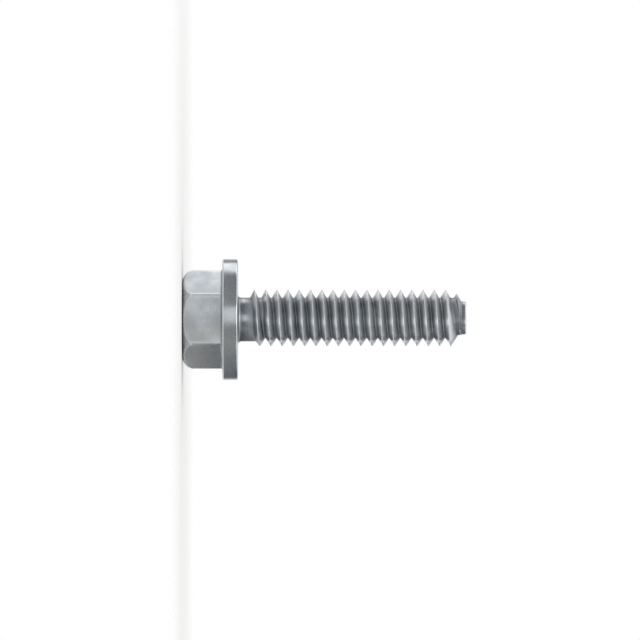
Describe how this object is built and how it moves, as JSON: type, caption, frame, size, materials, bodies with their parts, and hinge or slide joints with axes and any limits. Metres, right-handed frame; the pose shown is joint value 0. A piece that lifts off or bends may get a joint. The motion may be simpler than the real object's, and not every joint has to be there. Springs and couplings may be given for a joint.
{
  "type": "hexagon flange-head screw",
  "caption": "Hexagon flange-head screw with a dished head, a plain neck and a trilobular thread-forming shank with a blunt tip.",
  "frame": {"origin": "centre of the head's top, which is the face it stands on", "axes": "+Z along the screw's axis from the head towards the tip; two of the hexagon's corners and one lobe of the thread lie on the X axis, the lobe on its -X side"},
  "size_m": [0.0212, 0.0212, 0.0497],
  "materials": {
    "zinc_plated_steel": "bright zinc plating over cold-forged and thread-rolled steel"
  },
  "bodies": {
    "root": {"screw": "zinc_plated_steel"}
  },
  "joints": []
}
